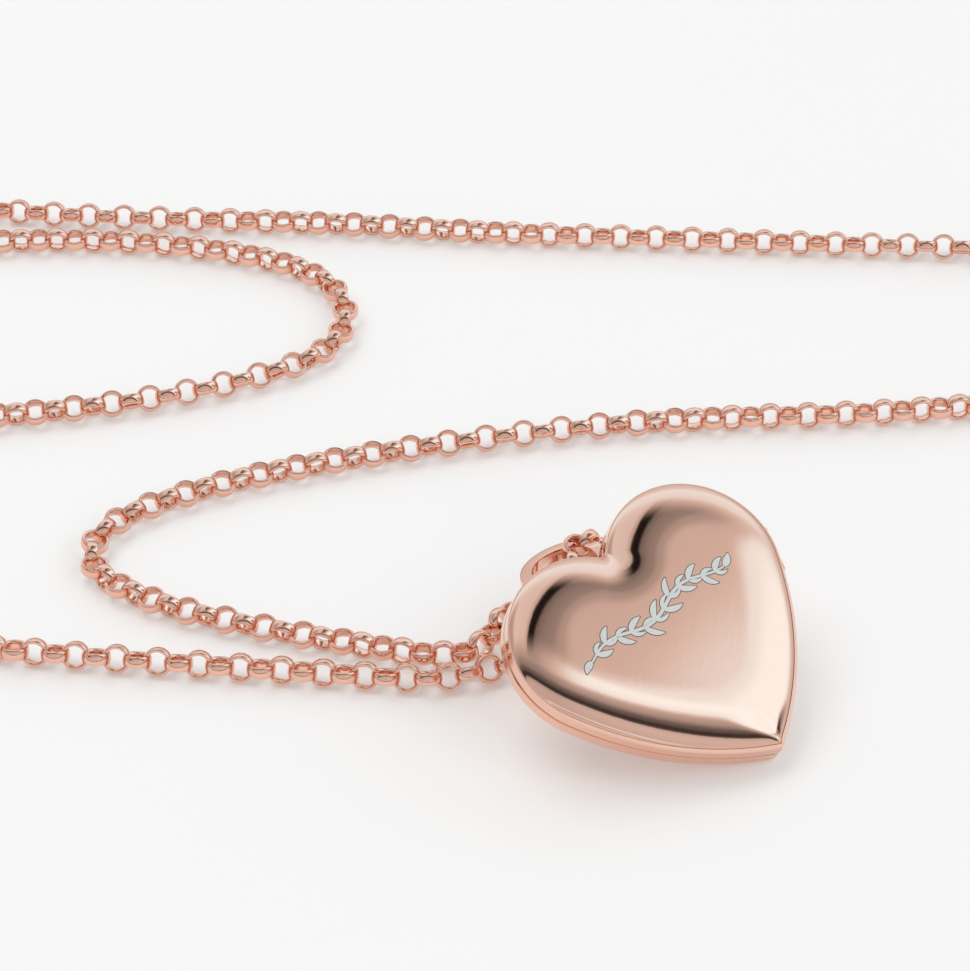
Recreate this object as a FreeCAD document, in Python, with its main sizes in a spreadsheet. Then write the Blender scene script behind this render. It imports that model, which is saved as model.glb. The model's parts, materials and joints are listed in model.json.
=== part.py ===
import FreeCAD, Part
import math
import os

import Sketcher
from FreeCAD import Placement, Rotation, Vector

# A heart locket on a belcher chain, lying on a table: two domed halves on a side hinge, a puffed bail on
# a loop in the cleft, and a necklace closed by a bolt ring. Millimetres, +Z up, table at z = 0, origin
# under the middle of the locket.
#
# The heart frame: x across the lobes, y from the tip to the cleft, z out of the cover's face, with the
# parting plane of the two halves at z = 0 and the origin midway between the lobe centres.

DIMENSIONS = [
    # heart outline, on the parting plane
    ("lobe_x", 4.65), ("lobe_radius", 6.14), ("side_x", -9.71), ("side_y", 7.22), ("cleft_fillet", 0.35),
    # profile of one half: an upright wall, then an elliptical shoulder up to a flat face
    ("wall_height", 0.75), ("shoulder_inset", 4.0), ("shoulder_rise", 1.15), ("shell_thick", 0.35),
    # pieces inside each half
    ("frame_low", 0.10), ("window_low", 0.60), ("card_low", 0.75), ("plate_low", 0.95), ("plate_high", 1.25),
    ("frame_inset", 0.75), ("frame_width", 1.15), ("card_inset", 0.80), ("plate_inset", 1.20),
    # hinge on the right lobe, its axis in the parting plane
    ("hinge_angle", -21.0), ("hinge_inset", 0.15), ("barrel_radius", 0.50), ("barrel_length", 3.10),
    ("middle_knuckle", 1.00), ("knuckle_gap", 0.04), ("groove_radius", 0.57), ("groove_length", 3.70),
    ("pin_radius", 0.25), ("pin_clearance", 0.02), ("pin_press", 0.01), ("leaf_height", 0.80),
    ("leaf_width", 0.30), ("leaf_depth", 0.24),
    # catch rim inside the left lobe
    ("catch_start", 125.0), ("catch_end", 205.0), ("catch_seat", 0.33), ("catch_inset", 0.39),
    ("catch_inner", 0.57), ("catch_depth", 0.60), ("catch_height", 0.30),
    # pendant loop behind the cleft, in the heart frame
    ("loop_y", 4.00), ("loop_z", -2.25), ("loop_radius", 1.05), ("loop_wire", 0.27),
    # how the locket lies
    ("locket_x", -0.46), ("locket_y", 0.28), ("locket_z", 6.69),
    ("locket_turn", 36.31), ("locket_lean", 27.57), ("locket_roll", 10.98),
    # bail
    ("bail_x", -5.30), ("bail_y", 5.15), ("bail_z", 5.40), ("bail_radius", 2.60), ("bail_wire", 0.35),
    ("bail_turn", -121.5), ("bail_lean", 20.9), ("bail_roll", 75.0), ("band_half_width", 1.10),
    ("band_inner", 2.15), ("band_outer", 3.00), ("band_crown", 0.15), ("band_sweep", 230.0),
    # necklace
    ("chain_radius", 1.0), ("ring_radius", 1.15), ("ring_wire", 0.28), ("end_ring_radius", 1.25),
    ("end_ring_wire", 0.30),
    # bolt ring
    ("clasp_x", -65.5), ("clasp_y", 54.4), ("clasp_z", 1.45), ("case_radius", 2.30), ("case_tube", 0.70),
    ("case_bore", 0.45), ("case_start", -130.0), ("case_sweep", 300.0), ("eye_radius", 1.0),
    ("eye_wire", 0.30), ("eye_angle", -41.0), ("end_ring_angle", 41.0), ("latch_wire", 0.40),
    ("latch_start", 163.0), ("latch_sweep", 75.0), ("lug_angle", 174.0), ("lug_radius", 0.18),
    ("lug_length", 1.0), ("slot_height", 0.44), ("slot_sweep", 62.0), ("spring_wire", 0.30),
    ("spring_start", 55.0), ("spring_sweep", 60.0), ("eye_seat", 0.35), ("ring_hang", 0.65),
    ("end_ring_lift", 0.10),
]

# Routes of the two strands, from the middle of the bail's hole outwards: corner points in millimetres,
# with the chain lying on the table at the height of its own radius.
FRONT_ROUTE = [
    (-5.4, 5.4, 5.4), (-5.8, 3.2, 1.0), (-12.9, -0.2, 1.0), (-19.0, 0.3, 1.0), (-27.0, 1.1, 1.0),
    (-36.0, 2.1, 1.0), (-46.0, 3.3, 1.0), (-56.0, 6.5, 1.0), (-61.5, 14.0, 1.0), (-60.0, 23.0, 1.0),
    (-52.5, 28.2, 1.0), (-43.5, 29.1, 1.0), (-35.5, 30.7, 1.0), (-28.5, 33.0, 1.0), (-22.3, 36.4, 1.0),
    (-20.7, 42.0, 1.0), (-23.6, 47.3, 1.0), (-31.5, 50.3, 1.0), (-42.0, 51.6, 1.0), (-52.0, 50.9, 1.0),
    (-61.0, 50.3, 1.0),
]
BACK_ROUTE = [
    (-5.4, 5.4, 5.4), (-5.14, 6.83, 8.26), (-3.6, 10.1, 6.9), (-3.2, 12.0, 1.0), (-7.4, 10.2, 1.0),
    (-10.3, 7.2, 1.0), (-10.3, 3.9, 1.0), (-13.0, 2.0, 1.0), (-19.0, 3.4, 1.0), (-26.0, 5.2, 1.0),
    (-33.2, 7.7, 1.0),
    (-38.3, 11.6, 1.0), (-37.2, 16.5, 1.0), (-31.0, 20.3, 1.0), (-23.0, 23.2, 1.0), (-13.5, 25.6, 1.0),
    (-4.0, 27.5, 1.0), (6.0, 28.6, 1.0), (16.0, 29.0, 1.0), (26.0, 30.2, 1.0), (35.5, 31.5, 1.0),
    (41.0, 37.0, 1.0), (40.5, 44.5, 1.0), (35.0, 49.6, 1.0), (26.0, 50.4, 1.0), (14.0, 50.9, 1.0),
    (2.0, 51.7, 1.0), (-10.0, 52.3, 1.0), (-22.0, 53.7, 1.0), (-34.0, 54.2, 1.0), (-46.0, 55.0, 1.0),
    (-55.0, 56.6, 1.0), (-62.8, 57.0, 1.0),
]
ARC_SHARE = 0.45          # part of the shorter run that an arc takes up
SHOULDER_ANGLES = (0, 20, 42, 65, 90)

doc = FreeCAD.newDocument("locket")
sheet = doc.addObject("Spreadsheet::Sheet", "dims")
for row, (alias, value) in enumerate(DIMENSIONS, start=1):
    sheet.set("A%d" % row, alias)
    sheet.set("B%d" % row, str(value))
    sheet.setAlias("B%d" % row, alias)
doc.recompute()

nodes = []


def dim(alias):
    return float(getattr(sheet, alias))


class Sum:
    """A sum of sizes from the sheet, each times a factor, as an expression and as its value."""

    def __init__(self, **factors):
        terms = ["%.4f * dims.%s" % (factor, alias) for alias, factor in factors.items()]
        self.text = " + ".join(terms) or "0"
        self.value = sum(factor * dim(alias) for alias, factor in factors.items())


def bind(thing, **expressions):
    for name, expression in expressions.items():
        thing.setExpression(name, expression)


def keep(thing, label):
    thing.Label = label
    nodes.append(thing)
    return thing


def lying(turn, lean, roll):
    z_axis, x_axis = Vector(0, 0, 1), Vector(1, 0, 0)
    return Rotation(z_axis, turn) * Rotation(x_axis, lean) * Rotation(z_axis, roll)


LOCKET = Placement(Vector(dim("locket_x"), dim("locket_y"), dim("locket_z")),
                   lying(dim("locket_turn"), dim("locket_lean"), dim("locket_roll")))


# ---------------------------------------------------------------- heart outlines

def polar(centre, radius, angle):
    return centre + Vector(radius * math.cos(angle), radius * math.sin(angle), 0)


def angle_of(vector):
    return math.atan2(vector.y, vector.x)


def heart_arcs(inset):
    """Five arcs, counter-clockwise from the cleft: cleft, left lobe, left side, right side, right lobe."""
    lobe = Vector(dim("lobe_x"), 0, 0)
    side = Vector(dim("side_x"), dim("side_y"), 0)
    lobe_radius = dim("lobe_radius") - inset
    side_radius = lobe_radius + (side - lobe).Length
    cleft_radius = dim("cleft_fillet") + inset
    cleft = Vector(0, math.sqrt((lobe_radius + cleft_radius) ** 2 - lobe.x ** 2), 0)
    tip = Vector(0, side.y - math.sqrt(side_radius ** 2 - side.x ** 2), 0)
    in_cleft = angle_of(cleft - lobe)
    to_side = angle_of(lobe - side)
    to_tip = angle_of(tip - side)
    left_lobe, left_side = Vector(-lobe.x, 0, 0), Vector(-side.x, side.y, 0)
    turn = 2 * math.pi
    return [
        (cleft, cleft_radius, math.pi - in_cleft + math.pi, in_cleft + math.pi),
        (left_lobe, lobe_radius, math.pi - in_cleft, math.pi - to_side),
        (left_side, side_radius, math.pi - to_side, math.pi - to_tip),
        (side, side_radius, to_tip + turn, to_side + turn),
        (lobe, lobe_radius, to_side + turn, in_cleft + turn),
    ]


def add_heart(sketch, inset):
    """One closed heart contour in a sketch, set in from the outline by `inset`, a sum of sizes."""
    first = len(sketch.Geometry)
    arcs = heart_arcs(inset.value)
    for centre, radius, start, end in arcs:
        circle = Part.Circle(centre, Vector(0, 0, 1), radius)
        sketch.addGeometry(Part.ArcOfCircle(circle, min(start, end), max(start, end)), False)
    cleft, left_lobe, left_side, side, lobe = range(first, first + 5)
    START, END, CENTRE = 1, 2, 3
    sketch.addConstraint(Sketcher.Constraint("Tangent", cleft, START, left_lobe, START))
    sketch.addConstraint(Sketcher.Constraint("Tangent", left_lobe, END, left_side, START))
    sketch.addConstraint(Sketcher.Constraint("Coincident", left_side, END, side, START))
    sketch.addConstraint(Sketcher.Constraint("Tangent", side, END, lobe, START))
    sketch.addConstraint(Sketcher.Constraint("Tangent", lobe, END, cleft, END))
    sketch.addConstraint(Sketcher.Constraint("PointOnObject", lobe, CENTRE, -1))
    sketch.addConstraint(Sketcher.Constraint("PointOnObject", left_lobe, CENTRE, -1))
    for element, sign in ((lobe, ""), (left_lobe, "-")):
        drive(sketch, "DistanceX", element, arcs[element - first][0].x, sign + "dims.lobe_x")
    for element, sign in ((side, ""), (left_side, "-")):
        drive(sketch, "DistanceX", element, arcs[element - first][0].x, sign + "dims.side_x")
        drive(sketch, "DistanceY", element, arcs[element - first][0].y, "dims.side_y")
    for element in (lobe, left_lobe):
        drive(sketch, "Radius", element, arcs[element - first][1], "dims.lobe_radius - (%s)" % inset.text)
    drive(sketch, "Radius", cleft, arcs[0][1], "dims.cleft_fillet + (%s)" % inset.text)


def drive(sketch, kind, element, value, expression):
    """A radius of an arc, or a place of its centre, bound to the sheet."""
    if kind == "Radius":
        index = sketch.addConstraint(Sketcher.Constraint("Radius", element, value))
    else:
        index = sketch.addConstraint(Sketcher.Constraint(kind, -1, 1, element, 3, value))
    sketch.setExpression("Constraints[%d]" % index, expression)


def new_body(label, placement=LOCKET):
    body = doc.addObject("PartDesign::Body", label)
    keep(body, label)
    body.Placement = placement
    return body


def level_sketch(body, name, height):
    """A sketch on the body's XY plane, lifted to `height`, a sum of sizes."""
    sketch = body.newObject("Sketcher::SketchObject", name)
    plane = [f for f in body.Origin.OriginFeatures if f.Role == "XY_Plane"][0]
    sketch.AttachmentSupport = (plane, [""])
    sketch.MapMode = "FlatFace"
    sketch.setExpression("AttachmentOffset.Base.z", height.text)
    return sketch


# ---------------------------------------------------------------- shells

def shoulder_sections(body, tag, side, thick):
    """Heart sketches up one half's profile, from the parting plane to the flat face.

    `thick` is 0 for the outer surface and 1 for the inner one, a wall's thickness inside it."""
    levels = [(Sum(), Sum(shell_thick=thick))]
    for angle in SHOULDER_ANGLES:
        rise, run = math.sin(math.radians(angle)), 1 - math.cos(math.radians(angle))
        height = Sum(wall_height=side, shoulder_rise=side * rise, shell_thick=-side * rise * thick)
        levels.append((height, Sum(shell_thick=thick, shoulder_inset=run)))
    sketches = []
    for number, (height, inset) in enumerate(levels):
        sketch = level_sketch(body, "%s_%d" % (tag, number), height)
        add_heart(sketch, inset)
        sketches.append(sketch)
    return sketches


def loft(body, kind, sketches):
    feature = body.newObject(kind, "Loft")
    feature.Profile = sketches[0]
    feature.Sections = sketches[1:]
    feature.Ruled = True
    doc.recompute()
    return feature


def hinge_frame():
    """Placement of the hinge in the heart frame: x outwards, z along the pin."""
    angle = math.radians(dim("hinge_angle"))
    reach = dim("lobe_radius") - dim("hinge_inset")
    outward = Vector(math.cos(angle), math.sin(angle), 0)
    along = Vector(-math.sin(angle), math.cos(angle), 0)
    centre = Vector(dim("lobe_x"), 0, 0) + outward * reach
    return Placement(centre, Rotation(outward, Vector(0, 0, -1), along, "ZXY"))


def along_pin(offset):
    return hinge_frame() * Placement(Vector(0, 0, offset), Rotation())


def cylinder(body, kind, radius, height, placement):
    feature = body.newObject("PartDesign::%sCylinder" % kind, "Cylinder")
    bind(feature, Radius=radius, Height=height)
    feature.Placement = placement
    doc.recompute()
    return feature


def must_change(before, body, label, sign):
    """Stops the build where a feature of a body added or cut nothing."""
    change = (body.Shape.Volume - before) * sign
    if change <= 0:
        raise ValueError("%s: a feature changed nothing" % label)


def make_shell(label, side):
    body = new_body(label)
    loft(body, "PartDesign::AdditiveLoft", shoulder_sections(body, label + "_outer", side, 0))
    solid = body.Shape.Volume
    loft(body, "PartDesign::SubtractiveLoft", shoulder_sections(body, label + "_inner", side, 1))
    must_change(solid, body, label, -1)
    hollow = body.Shape.Volume
    cylinder(body, "Subtractive", "dims.groove_radius", "dims.groove_length",
             along_pin(-dim("groove_length") / 2))
    must_change(hollow, body, label, -1)


# ---------------------------------------------------------------- pieces inside each half

def make_plate(label, side, low, high, inset, width=None):
    """A heart-shaped sheet between two levels, or a ring of it where `width` is given."""
    body = new_body(label)
    sketch = level_sketch(body, label + "_outline", Sum(**{low: side}))
    add_heart(sketch, Sum(**{inset: 1}))
    if width:
        add_heart(sketch, Sum(**{inset: 1, width: 1}))
    pad = body.newObject("PartDesign::Pad", "Pad")
    pad.Profile = sketch
    bind(pad, Length="dims.%s - dims.%s" % (high, low))
    pad.Reversed = side < 0
    doc.recompute()


def make_half(name, side):
    make_shell(name + "_shell", side)
    make_plate(name + "_liner_plate", side, "plate_low", "plate_high", "plate_inset")
    make_plate(name + "_photo_card", side, "card_low", "plate_low", "card_inset")
    make_plate(name + "_window", side, "window_low", "card_low", "card_inset")
    make_plate(name + "_photo_frame", side, "frame_low", "window_low", "frame_inset", "frame_width")


# ---------------------------------------------------------------- hinge

def add_knuckle(body, side, start, length):
    """One length of barrel with the leaf that joins it to its shell's wall."""
    cylinder(body, "Additive", "dims.barrel_radius", length, along_pin(start))
    leaf = body.newObject("PartDesign::AdditiveBox", "Leaf")
    bind(leaf, Length="dims.leaf_width", Width="dims.leaf_height", Height=length)
    lift = -dim("leaf_height") if side > 0 else 0
    inward = -dim("leaf_depth")
    leaf.Placement = hinge_frame() * Placement(Vector(inward, lift, start), Rotation())
    doc.recompute()


def make_knuckles(label, side, spans, bore):
    body = new_body(label)
    for start, length in spans:
        add_knuckle(body, side, start, length)
    before = body.Shape.Volume
    cylinder(body, "Subtractive", bore, "dims.barrel_length", along_pin(-dim("barrel_length") / 2))
    must_change(before, body, label, -1)


def make_hinge():
    half, middle = dim("barrel_length") / 2, dim("middle_knuckle") / 2
    outer = "(dims.barrel_length - dims.middle_knuckle) / 2 - dims.knuckle_gap"
    make_knuckles("hinge_knuckle_front", 1, [(-middle, "dims.middle_knuckle")],
                  "dims.pin_radius + dims.pin_clearance")
    make_knuckles("hinge_knuckle_back_upper", -1, [(middle + dim("knuckle_gap"), outer)],
                  "dims.pin_radius - dims.pin_press")
    make_knuckles("hinge_knuckle_back_lower", -1, [(-half, outer)], "dims.pin_radius - dims.pin_press")
    pin = new_body("hinge_pin")
    cylinder(pin, "Additive", "dims.pin_radius", "dims.barrel_length", along_pin(-half))


# ---------------------------------------------------------------- catch rim

def catch_strip(body, name, height, outer, upward):
    """A thin strip along the inside of the left lobe: a sector of a ring, padded from z = 0."""
    start, end = math.radians(dim("catch_start")), math.radians(dim("catch_end"))
    centre = Vector(-dim("lobe_x"), 0, 0)
    sketch = level_sketch(body, name, Sum())
    radii = [dim("lobe_radius") - dim(outer), dim("lobe_radius") - dim("catch_inner")]
    for radius in radii:
        circle = Part.Circle(centre, Vector(0, 0, 1), radius)
        sketch.addGeometry(Part.ArcOfCircle(circle, start, end), False)
    for angle in (start, end):
        line = Part.LineSegment(polar(centre, radii[1], angle), polar(centre, radii[0], angle))
        sketch.addGeometry(line, False)
    for arc, arc_point, line, line_point in ((1, 1, 2, 1), (0, 1, 2, 2), (1, 2, 3, 1), (0, 2, 3, 2)):
        sketch.addConstraint(Sketcher.Constraint("Coincident", arc, arc_point, line, line_point))
    sketch.addConstraint(Sketcher.Constraint("Coincident", 0, 3, 1, 3))
    sketch.addConstraint(Sketcher.Constraint("PointOnObject", 0, 3, -1))
    drive(sketch, "DistanceX", 0, centre.x, "-dims.lobe_x")
    drive(sketch, "Radius", 0, radii[0], "dims.lobe_radius - dims.%s" % outer)
    drive(sketch, "Radius", 1, radii[1], "dims.lobe_radius - dims.catch_inner")
    for line, angle, bound in ((2, start, "dims.catch_start"), (3, end - 2 * math.pi, "dims.catch_end - 360")):
        sketch.addConstraint(Sketcher.Constraint("PointOnObject", 0, 3, line))
        index = sketch.addConstraint(Sketcher.Constraint("Angle", line, angle))
        sketch.setExpression("Constraints[%d]" % index, bound)
    pad = body.newObject("PartDesign::Pad", name + "_pad")
    pad.Profile = sketch
    bind(pad, Length=height)
    pad.Reversed = not upward
    doc.recompute()


def make_catch_rim():
    body = new_body("catch_rim")
    catch_strip(body, "catch_root", "dims.catch_depth", "catch_seat", False)
    before = body.Shape.Volume
    catch_strip(body, "catch_lip", "dims.catch_height", "catch_inset", True)
    must_change(before, body, "catch_rim", 1)


# ---------------------------------------------------------------- rings

def torus(name, radius, wire, placement, start=0.0, sweep="360"):
    ring = doc.addObject("Part::Torus", name)
    bind(ring, Radius1=radius, Radius2=wire, Angle3=sweep)
    turn = Placement(Vector(), Rotation(Vector(0, 0, 1), start))
    ring.Placement = placement * turn
    return ring


def upright(centre, heading):
    """Placement of a ring that stands on edge, its plane holding the vertical and `heading` degrees."""
    facing = Rotation(Vector(0, 0, 1), heading) * Rotation(Vector(1, 0, 0), 90)
    return Placement(centre, facing)


def combine(kind, label, *pieces):
    result = doc.addObject("Part::" + kind, label)
    if kind == "MultiFuse":
        result.Shapes = list(pieces)
    else:
        result.Base, result.Tool = pieces
    doc.recompute()
    return result


def make_loop():
    centre = Vector(0, dim("loop_y"), dim("loop_z"))
    placement = LOCKET * Placement(centre, Rotation(Vector(0, 1, 0), 90))
    keep(torus("pendant_loop", "dims.loop_radius", "dims.loop_wire", placement), "pendant_loop")


def bail_frame():
    centre = Vector(dim("bail_x"), dim("bail_y"), dim("bail_z"))
    return Placement(centre, lying(dim("bail_turn"), dim("bail_lean"), dim("bail_roll")))


def make_bail():
    """A slim round ring where the loop holds it, with a broad puffed band round the rest."""
    core = torus("bail_core", "dims.bail_radius", "dims.bail_wire", bail_frame())
    band = doc.addObject("Part::Feature", "bail_band")
    half, inner, outer = dim("band_half_width"), dim("band_inner"), dim("band_outer")
    crown = dim("band_crown")
    edges = [
        Part.LineSegment(Vector(inner, 0, -half), Vector(inner, 0, half)).toShape(),
        Part.LineSegment(Vector(inner, 0, half), Vector(outer, 0, half)).toShape(),
        Part.Arc(Vector(outer, 0, half), Vector(outer + crown, 0, 0), Vector(outer, 0, -half)).toShape(),
        Part.LineSegment(Vector(outer, 0, -half), Vector(inner, 0, -half)).toShape(),
    ]
    section = Part.Face(Part.Wire(edges))
    sweep = dim("band_sweep")
    section.rotate(Vector(), Vector(0, 0, 1), 180 - sweep / 2)
    band.Shape = section.revolve(Vector(), Vector(0, 0, 1), sweep)
    band.Placement = bail_frame()
    keep(combine("MultiFuse", "bail", core, band), "bail")


# ---------------------------------------------------------------- bolt ring

def clasp_frame(angle=0.0):
    centre = Vector(dim("clasp_x"), dim("clasp_y"), dim("clasp_z"))
    return Placement(centre, Rotation(Vector(0, 0, 1), angle))


def clasp_point(angle, reach, height=0.0):
    return clasp_frame(angle).multVec(Vector(reach, 0, height))


def make_case():
    tube = torus("case_tube_solid", "dims.case_radius", "dims.case_tube", clasp_frame(),
                 dim("case_start"), "dims.case_sweep")
    bore = torus("case_bore_solid", "dims.case_radius", "dims.case_bore", clasp_frame(),
                 dim("case_start"), "dims.case_sweep")
    hollow = combine("Cut", "case_hollow", tube, bore)
    sectors = []
    for name, radius in (("slot_outer", "dims.case_radius + 2 * dims.case_tube"),
                         ("slot_inner", "dims.case_radius")):
        sector = doc.addObject("Part::Cylinder", name)
        bind(sector, Radius=radius, Height="dims.slot_height", Angle="dims.slot_sweep")
        low = Placement(Vector(0, 0, -dim("slot_height") / 2), Rotation())
        start = dim("case_start") + dim("case_sweep") - dim("slot_sweep")
        sector.Placement = clasp_frame(start) * low
        sectors.append(sector)
    slot = combine("Cut", "case_slot", *sectors)
    keep(combine("Cut", "bolt_ring_case", hollow, slot), "bolt_ring_case")


def make_latch():
    gate = torus("latch_gate", "dims.case_radius", "dims.latch_wire", clasp_frame(),
                 dim("latch_start"), "dims.latch_sweep")
    lug = doc.addObject("Part::Cylinder", "latch_lug")
    bind(lug, Radius="dims.lug_radius", Height="dims.lug_length")
    outward = Rotation(Vector(0, 1, 0), 90)
    lug.Placement = clasp_frame(dim("lug_angle")) * Placement(Vector(dim("case_radius"), 0, 0), outward)
    keep(combine("MultiFuse", "bolt_ring_latch", gate, lug), "bolt_ring_latch")


def make_clasp():
    make_case()
    make_latch()
    keep(torus("bolt_ring_spring", "dims.case_radius", "dims.spring_wire", clasp_frame(),
               dim("spring_start"), "dims.spring_sweep"), "bolt_ring_spring")
    eye_reach = dim("case_radius") + dim("case_tube") + dim("eye_radius") - dim("eye_seat")
    eye_centre = Placement(clasp_point(dim("eye_angle"), eye_reach), Rotation())
    keep(torus("bolt_ring_eye", "dims.eye_radius", "dims.eye_wire", eye_centre), "bolt_ring_eye")
    link_reach = eye_reach + dim("eye_radius") + dim("ring_radius") - dim("ring_hang")
    link_centre = clasp_point(dim("eye_angle"), link_reach)
    keep(torus("clasp_link_ring", "dims.ring_radius", "dims.ring_wire",
               upright(link_centre, dim("eye_angle"))), "clasp_link_ring")
    end_centre = clasp_point(dim("end_ring_angle"), dim("case_radius"), dim("end_ring_lift"))
    keep(torus("end_link_ring", "dims.end_ring_radius", "dims.end_ring_wire",
               upright(end_centre, dim("end_ring_angle"))), "end_link_ring")


# ---------------------------------------------------------------- chain strands

def rounded_path(points):
    """Straight runs joined by tangent arcs, as edges, with the arcs' radii."""
    edges, radii, place = [], [], points[0]
    for before, corner, after in zip(points, points[1:], points[2:]):
        back, ahead = before - corner, after - corner
        half_turn = (math.pi - back.getAngle(ahead)) / 2
        reach = ARC_SHARE * min(back.Length, ahead.Length)
        radius = reach / math.tan(half_turn)
        back.normalize()
        ahead.normalize()
        start, end = corner + back * reach, corner + ahead * reach
        inward = (back + ahead).normalize()
        middle = corner + inward * (radius / math.cos(half_turn) - radius)
        edges += [Part.LineSegment(place, start).toShape(), Part.Arc(start, middle, end).toShape()]
        radii.append(radius)
        place = end
    edges.append(Part.LineSegment(place, points[-1]).toShape())
    return edges, radii


def make_strand(label, route):
    edges, radii = rounded_path([Vector(*point) for point in route])
    path = Part.Wire(edges)
    heading = edges[0].tangentAt(edges[0].FirstParameter)
    radius = dim("chain_radius")
    section = Part.Wire([Part.Circle(Vector(*route[0]), heading, radius).toShape()])
    strand = doc.addObject("Part::Feature", label)
    strand.Shape = path.makePipeShell([section], True, False)
    keep(strand, label)
    expected = math.pi * radius ** 2 * path.Length
    print("%s: length %.1f mm, volume %.1f of %.1f mm3, arc radii %s"
          % (label, path.Length, strand.Shape.Volume, expected, " ".join("%.1f" % r for r in radii)))


# ---------------------------------------------------------------- build

def build():
    make_half("back", -1)
    make_half("front", 1)
    make_hinge()
    make_catch_rim()
    make_loop()
    make_bail()
    make_strand("chain_front_strand", FRONT_ROUTE)
    make_strand("chain_back_strand", BACK_ROUTE)
    make_clasp()
    doc.recompute()


def check():
    for thing in doc.Objects:
        if {"Invalid", "Error"} & set(thing.State):
            raise ValueError("%s failed: %s" % (thing.Name, thing.State))
    for node in nodes:
        if node.Shape.isNull() or not node.Shape.isValid() or not node.Shape.Solids:
            raise ValueError("%s has no valid solid" % node.Label)


def write():
    os.makedirs("parts", exist_ok=True)
    for node in nodes:
        node.Shape.exportStep("parts/%s.step" % node.Label)
    print("wrote %d nodes" % len(nodes))


build()
check()
write()
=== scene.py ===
import json
import math

import bmesh
import bpy
from mathutils import Matrix, Vector


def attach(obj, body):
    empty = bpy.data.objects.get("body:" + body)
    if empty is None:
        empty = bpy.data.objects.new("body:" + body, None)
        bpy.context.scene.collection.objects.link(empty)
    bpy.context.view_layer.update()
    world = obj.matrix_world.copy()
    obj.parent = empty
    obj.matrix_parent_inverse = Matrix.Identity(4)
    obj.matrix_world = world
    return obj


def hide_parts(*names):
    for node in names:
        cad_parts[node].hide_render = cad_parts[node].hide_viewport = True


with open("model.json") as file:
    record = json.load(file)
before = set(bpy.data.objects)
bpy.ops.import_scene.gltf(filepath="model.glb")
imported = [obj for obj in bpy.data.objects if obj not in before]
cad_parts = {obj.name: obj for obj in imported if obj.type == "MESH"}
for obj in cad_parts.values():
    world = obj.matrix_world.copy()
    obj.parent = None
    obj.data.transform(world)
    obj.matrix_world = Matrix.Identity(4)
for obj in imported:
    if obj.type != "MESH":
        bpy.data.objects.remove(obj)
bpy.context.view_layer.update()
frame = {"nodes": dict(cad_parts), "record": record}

MM = 0.001
TURN = 2 * math.pi

# The heart frame, as in the CAD model: x across the lobes, y from the tip to the cleft, z out of the
# cover's face, the parting plane at z = 0 and the origin midway between the lobe centres. Millimetres.
LOCKET_AT = Vector((-0.46, 0.28, 6.69))
LOCKET_TURN, LOCKET_LEAN, LOCKET_ROLL = 36.31, 27.57, 10.98
LOBE_X, LOBE_RADIUS = 4.65, 6.14
SIDE_CENTRE = Vector((-9.71, 7.22))
CLEFT_FILLET = 0.35
WALL_HEIGHT, SHOULDER_INSET, SHOULDER_RISE, SHELL_THICK = 0.75, 4.0, 1.15, 0.35
HINGE_ANGLE, HINGE_INSET, GROOVE_RADIUS, GROOVE_LENGTH = -21.0, 0.15, 0.57, 3.70
LOOP_CENTRE, LOOP_RADIUS, LOOP_WIRE = Vector((0.0, 4.0, -2.25)), 1.05, 0.27
BAIL_AT = Vector((-5.30, 5.15, 5.40))
BAIL_TURN, BAIL_LEAN, BAIL_ROLL = -121.5, 20.9, 75.0
BAIL_RADIUS, BAIL_WIRE = 2.60, 0.35

CAMERA_AT = (-0.01079, -0.18056, 0.1582)
CAMERA_TILT, CAMERA_LENS = 52.0, 134.7

# The chain's routes, from the middle of the bail's hole outwards, in metres.
FRONT_ROUTE = [
    (-0.0054, 0.0054, 0.0054), (-0.0058, 0.0032, 0.001), (-0.0129, -0.0002, 0.001),
    (-0.0190, 0.0003, 0.001), (-0.0270, 0.0011, 0.001), (-0.0360, 0.0021, 0.001),
    (-0.0460, 0.0033, 0.001), (-0.0560, 0.0065, 0.001), (-0.0615, 0.0140, 0.001),
    (-0.0600, 0.0230, 0.001), (-0.0525, 0.0282, 0.001), (-0.0435, 0.0291, 0.001),
    (-0.0355, 0.0307, 0.001), (-0.0285, 0.0330, 0.001), (-0.0223, 0.0364, 0.001),
    (-0.0207, 0.0420, 0.001), (-0.0236, 0.0473, 0.001), (-0.0315, 0.0503, 0.001),
    (-0.0420, 0.0516, 0.001), (-0.0520, 0.0509, 0.001), (-0.0610, 0.0503, 0.001),
]
BACK_ROUTE = [
    (-0.0054, 0.0054, 0.0054), (-0.0049, 0.0069, 0.0070), (-0.0031, 0.0092, 0.0050),
    (-0.0030, 0.0114, 0.001), (-0.0066, 0.0086, 0.001), (-0.0097, 0.0064, 0.001),
    (-0.0104, 0.0039, 0.001), (-0.0128, 0.0020, 0.001), (-0.0190, 0.0034, 0.001),
    (-0.0260, 0.0052, 0.001), (-0.0332, 0.0077, 0.001), (-0.0383, 0.0116, 0.001),
    (-0.0372, 0.0165, 0.001), (-0.0310, 0.0203, 0.001), (-0.0230, 0.0232, 0.001),
    (-0.0135, 0.0256, 0.001), (-0.0040, 0.0275, 0.001), (0.0060, 0.0286, 0.001),
    (0.0160, 0.0290, 0.001), (0.0260, 0.0302, 0.001), (0.0355, 0.0315, 0.001),
    (0.0410, 0.0370, 0.001), (0.0405, 0.0445, 0.001), (0.0350, 0.0496, 0.001),
    (0.0260, 0.0504, 0.001), (0.0140, 0.0509, 0.001), (0.0020, 0.0517, 0.001),
    (-0.0100, 0.0523, 0.001), (-0.0220, 0.0537, 0.001), (-0.0340, 0.0542, 0.001),
    (-0.0460, 0.0550, 0.001), (-0.0550, 0.0566, 0.001), (-0.0628, 0.0570, 0.001),
]
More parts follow.
